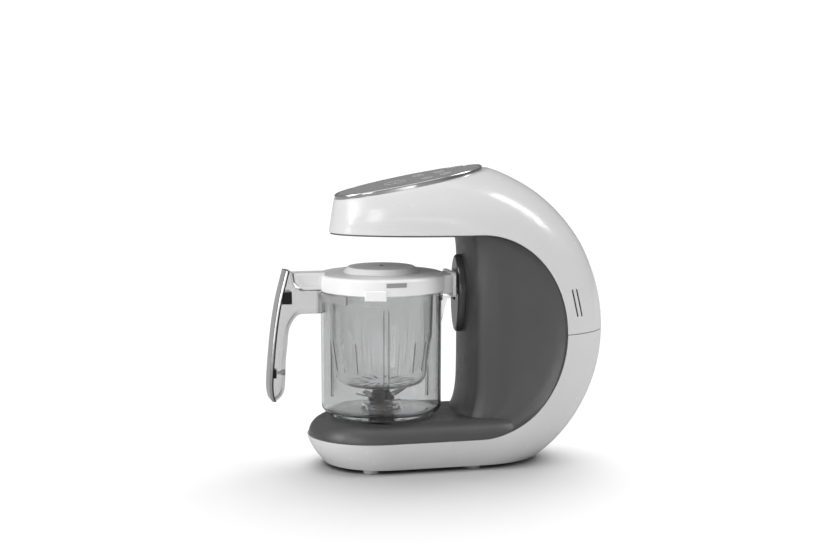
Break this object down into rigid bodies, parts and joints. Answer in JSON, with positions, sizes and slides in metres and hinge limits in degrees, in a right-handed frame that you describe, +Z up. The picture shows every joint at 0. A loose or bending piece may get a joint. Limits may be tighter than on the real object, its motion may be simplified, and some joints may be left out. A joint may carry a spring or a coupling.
{
  "type": "baby food maker",
  "caption": "C-shaped countertop steamer and blender for baby food: clear handled jar with basket, lid and blades under a white head with a sloping touch panel.",
  "frame": {"origin": "middle of the footprint's bounding box, on the surface it stands on", "axes": "+Z up, -Y towards the jar's handle (the front), +X to the right as seen from the back"},
  "size_m": [0.1316, 0.3418, 0.2962],
  "materials": {
    "shell_white": "polished white ABS",
    "cover_grey": "fine satin dark grey moulding",
    "chrome": "bright satin plating",
    "fascia_grey": "silver-grey touch fascia",
    "circuit_board": "glass-fibre board",
    "base_black": "textured black moulding",
    "foot_rubber": "soft black rubber",
    "steel": "turned steel",
    "blade_steel": "ground stainless steel",
    "bronze": "oiled sintered bronze",
    "nylon_black": "black nylon",
    "boiler_alloy": "die-cast, bead blasted",
    "silicone": "translucent silicone",
    "steam_outlet_plastic": "heat-proof grey moulding",
    "jar_clear": "clear smoke-tinted jar plastic",
    "handle_smoke": "translucent smoke grey",
    "lid_milky": "milky white, slightly translucent",
    "marker_grey": "grey insert",
    "tank_clear": "smoke-clear tank plastic"
  },
  "bodies": {
    "stand": {"base_plate": "base_black", "base_screws": "steel", "boiler": "boiler_alloy", "boiler_hose": "silicone", "control_board": "circuit_board", "cord_gland": "base_black", "drive_belt": "foot_rubber", "feed_hose": "silicone", "head_underplate": "cover_grey", "heating_element": "boiler_alloy", "inner_cover": "cover_grey", "interlock_switch": "base_black", "lower_shell": "shell_white", "motor": "steel", "motor_bracket": "base_black", "outlet_seal": "foot_rubber", "panel_fascia": "fascia_grey", "panel_rim": "chrome", "power_board": "circuit_board", "rubber_feet": "foot_rubber", "spindle_bushes": "bronze", "spindle_carrier": "base_black", "spindle_step": "base_black", "steam_boss": "cover_grey", "steam_hose": "silicone", "steam_outlet": "steam_outlet_plastic", "tank_socket": "base_black", "thermostat": "boiler_alloy", "upper_shell": "shell_white", "water_pump": "base_black"},
    "jar": {"jar": "jar_clear", "jar_handle": "handle_smoke", "handle_trim": "chrome", "handle_spine": "nylon_black", "handle_clips": "nylon_black", "handle_screw": "steel", "blade_bush": "bronze"},
    "lid": {"lid": "lid_milky", "lid_marker": "marker_grey", "lid_seal": "silicone"},
    "basket": {"steamer_basket": "jar_clear"},
    "blades": {"blades": "blade_steel", "blade_hub": "nylon_black", "blade_shaft": "steel", "blade_coupling": "nylon_black"},
    "drive": {"drive_spindle": "steel", "drive_pulley": "nylon_black", "drive_coupling": "nylon_black"},
    "rotor": {"motor_shaft": "steel", "motor_pulley": "nylon_black", "cooling_fan": "nylon_black"},
    "tank": {"water_tank": "tank_clear", "tank_cap": "silicone", "tank_valve": "nylon_black"},
    "pin": {"interlock_pin": "nylon_black"}
  },
  "joints": [
    {"name": "jar_lift", "type": "slide", "parent": "stand", "child": "jar", "axis": [0, 0, 1], "range_m": [0, 0.0055]},
    {"name": "lid_lift", "type": "slide", "parent": "jar", "child": "lid", "axis": [0, 0, 1], "range_m": [0, 0.012]},
    {"name": "basket_lift", "type": "slide", "parent": "jar", "child": "basket", "axis": [0, 0, 1], "range_m": [0, 0.0025]},
    {"name": "blade_spin", "type": "hinge", "parent": "jar", "child": "blades", "pos_m": [0, -0.0565, 0.066], "axis": [0, 0, 1], "continuous": true},
    {"name": "drive_spin", "type": "hinge", "parent": "stand", "child": "drive", "pos_m": [0, -0.0565, 0.024], "axis": [0, 0, 1], "continuous": true},
    {"name": "motor_spin", "type": "hinge", "parent": "stand", "child": "rotor", "pos_m": [0, 0.0715, 0.04], "axis": [0, 0, 1], "continuous": true},
    {"name": "tank_slide", "type": "slide", "parent": "stand", "child": "tank", "axis": [0, 1, 0], "range_m": [0, 0.075]},
    {"name": "interlock_press", "type": "slide", "parent": "stand", "child": "pin", "axis": [0, 1, 0], "range_m": [0, 0.0025], "stiffness_N_per_m": 250}
  ],
  "couplings": [
    {"joint": "blade_spin", "follows": "drive_spin", "ratio": 1},
    {"joint": "motor_spin", "follows": "drive_spin", "ratio": 2.6667}
  ]
}
